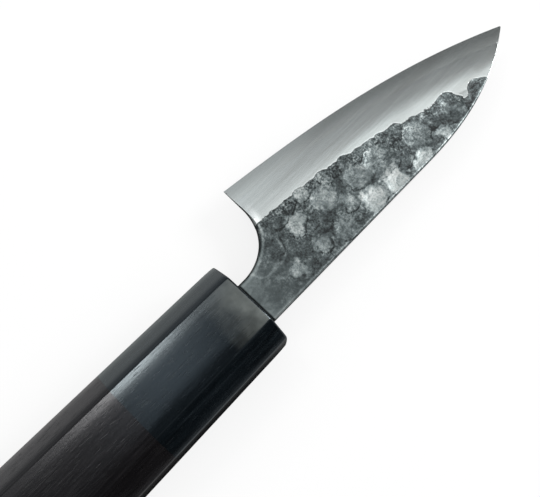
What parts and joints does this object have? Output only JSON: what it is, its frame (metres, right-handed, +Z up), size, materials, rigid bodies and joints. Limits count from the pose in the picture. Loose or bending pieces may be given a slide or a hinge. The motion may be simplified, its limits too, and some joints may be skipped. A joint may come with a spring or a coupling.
{
  "type": "petty knife",
  "caption": "Small Japanese-style kitchen knife lying on its side: hammered three-layer blade with a ground bevel, round choil, and an eight-sided wooden handle with a dark ferrule.",
  "frame": {"origin": "middle of the flat lower side of the handle's wooden body, which the knife lies on", "axes": "+X along the knife towards the tip, +Y towards the cutting edge, +Z up, away from the surface that the knife lies on"},
  "size_m": [0.2012, 0.0342, 0.0199],
  "materials": {
    "core_steel": "hard carbon steel, finely ground and polished along the edge",
    "cladding": "soft iron, hammered with worn black forge scale, ground bright on the bevel",
    "ferrule": "black horn, satin, faint lengthwise streaks",
    "handle_wood": "dark open-pored hardwood, oiled, satin",
    "dowel_wood": "plain turned hardwood, hidden inside",
    "seal": "black filler, matt"
  },
  "bodies": {
    "root": {"core_steel": "core_steel", "face_cladding": "cladding", "back_cladding": "cladding", "ferrule": "ferrule", "handle": "handle_wood", "dowel": "dowel_wood", "tang_seal": "seal"}
  },
  "joints": []
}
